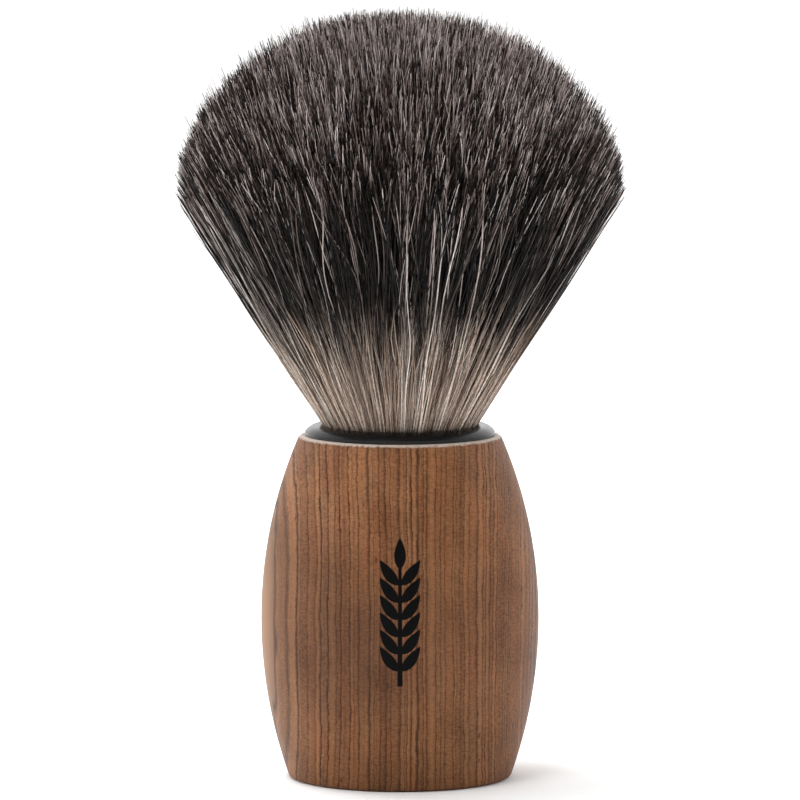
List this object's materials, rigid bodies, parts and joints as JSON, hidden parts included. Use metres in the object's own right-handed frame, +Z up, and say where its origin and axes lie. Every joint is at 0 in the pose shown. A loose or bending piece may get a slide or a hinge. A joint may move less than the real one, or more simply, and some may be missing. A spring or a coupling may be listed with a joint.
{
  "type": "shaving brush",
  "caption": "Barber's shaving brush: turned wooden barrel handle, glossy black plastic collar and a fan-shaped hair knot that bends and springs back.",
  "frame": {"origin": "centre of the handle's flat base", "axes": "+Z up along the turning axis, from the base to the crown of the hair; -Y is the front, which carries the printed mark"},
  "size_m": [0.0602, 0.0602, 0.1031],
  "materials": {
    "handle_wood": "satin",
    "collar_black": "gloss",
    "glue": "satin",
    "resin": "gloss",
    "thread": "matte",
    "hair": "satin"
  },
  "bodies": {
    "handle": {"handle_body": "handle_wood", "collar_ring": "collar_black", "sleeve_adhesive": "glue", "seat_adhesive": "glue", "resin_plug": "resin", "binding_thread": "thread", "knot_base": "hair"},
    "waist": {"knot_waist": "hair"},
    "fan": {"knot_fan": "hair"}
  },
  "joints": [
    {"name": "bend_sideways", "type": "hinge", "parent": "handle", "child": "waist", "pos_m": [0, 0, 0.0495], "axis": [0, 1, 0], "range_deg": [-25, 25], "stiffness_Nm_per_rad": 0.1},
    {"name": "bend_forward", "type": "hinge", "parent": "waist", "child": "fan", "pos_m": [0, 0, 0.0495], "axis": [1, 0, 0], "range_deg": [-25, 25], "stiffness_Nm_per_rad": 0.1}
  ]
}
